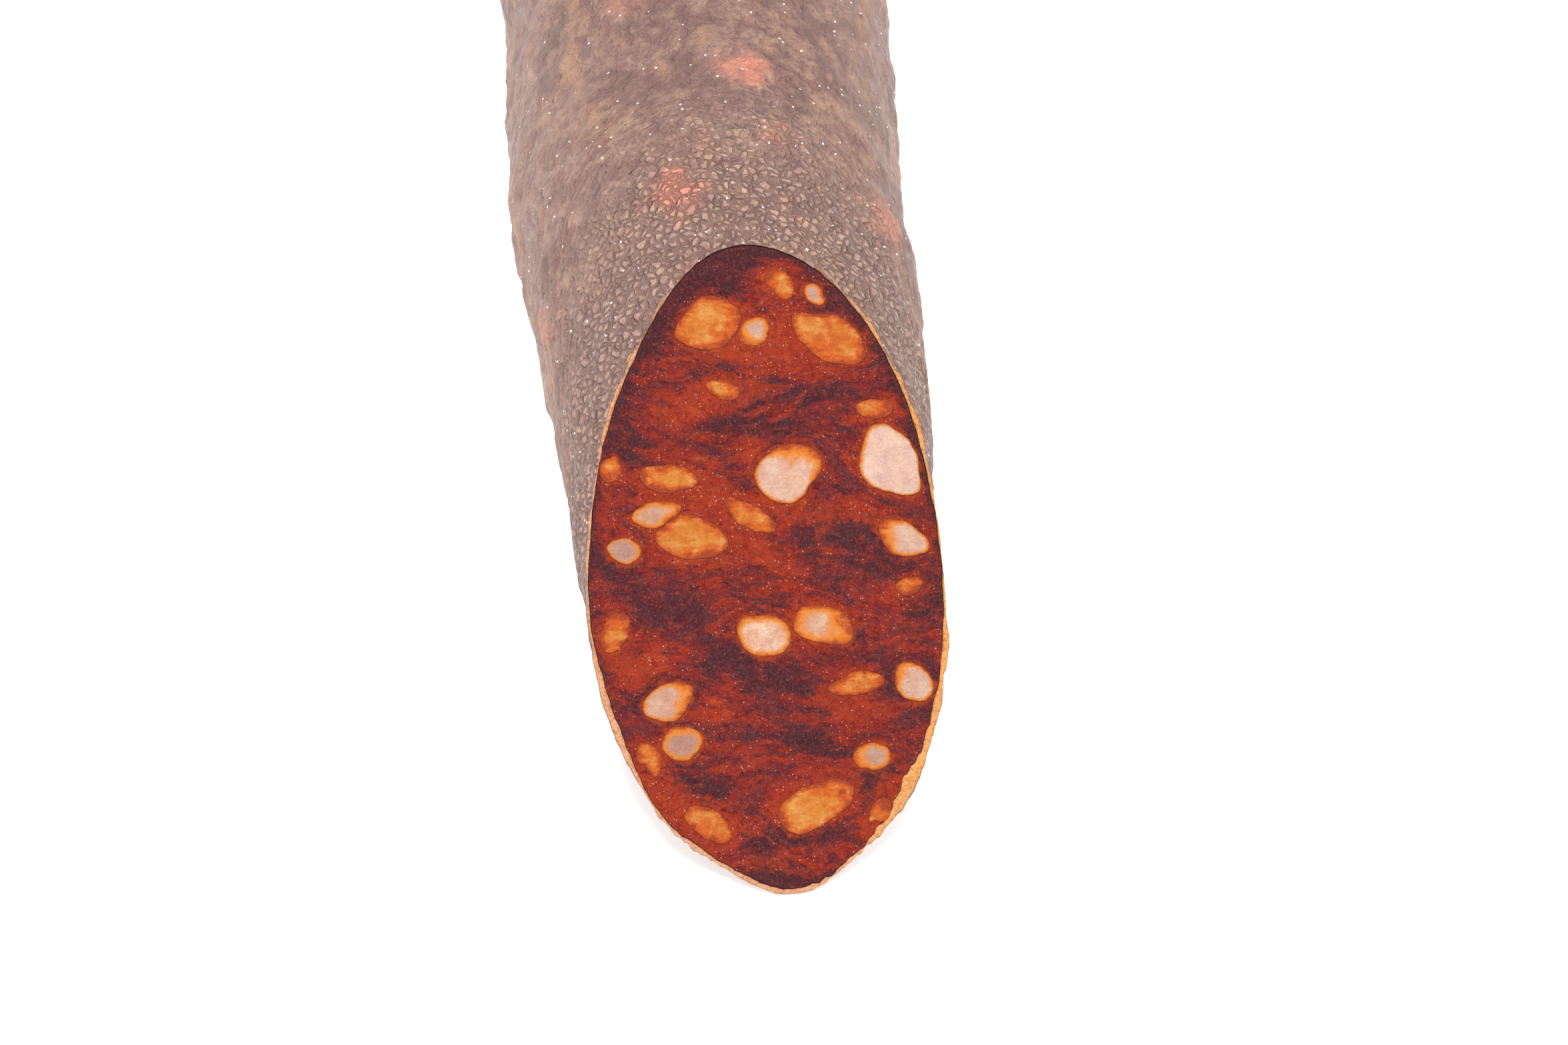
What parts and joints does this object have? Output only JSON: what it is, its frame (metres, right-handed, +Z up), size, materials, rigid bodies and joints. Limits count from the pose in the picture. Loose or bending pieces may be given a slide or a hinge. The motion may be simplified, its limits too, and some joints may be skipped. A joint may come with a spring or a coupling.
{
  "type": "cut dry-cured sausage",
  "caption": "Piece of dry-cured chorizo in a wrinkled casing, cut on the bias to show lean and fat, with the other end tied with twine.",
  "frame": {"origin": "middle of the bounding box at table height, where the flattened underside rests", "axes": "+Y along the sausage towards the tied end, so the cut face looks towards -Y and up; +Z up"},
  "size_m": [0.061, 0.2314, 0.0544],
  "materials": {
    "casing": "dry natural casing, matt and finely wrinkled, mauve grey to beige",
    "lean": "moist cured lean pork coloured by paprika, maroon to orange red",
    "white_fat": "firm back fat, waxy and slightly translucent, pinkish white",
    "amber_fat": "back fat stained through by paprika oil, waxy amber orange",
    "twine": "three-ply natural cotton twine, matt"
  },
  "bodies": {
    "root": {"casing": "casing", "filling": "lean", "white_fat_1": "white_fat", "white_fat_2": "white_fat", "white_fat_3": "white_fat", "white_fat_4": "white_fat", "white_fat_5": "white_fat", "white_fat_6": "white_fat", "white_fat_7": "white_fat", "white_fat_8": "white_fat", "white_fat_9": "white_fat", "white_fat_10": "white_fat", "white_fat_11": "white_fat", "white_fat_12": "white_fat", "white_fat_13": "white_fat", "amber_fat_1": "amber_fat", "amber_fat_2": "amber_fat", "amber_fat_3": "amber_fat", "amber_fat_4": "amber_fat", "amber_fat_5": "amber_fat", "amber_fat_6": "amber_fat", "amber_fat_7": "amber_fat", "amber_fat_8": "amber_fat", "amber_fat_9": "amber_fat", "amber_fat_10": "amber_fat", "amber_fat_11": "amber_fat", "amber_fat_12": "amber_fat", "amber_fat_13": "amber_fat", "amber_fat_14": "amber_fat", "amber_fat_15": "amber_fat", "amber_fat_16": "amber_fat", "twine": "twine"}
  },
  "joints": []
}
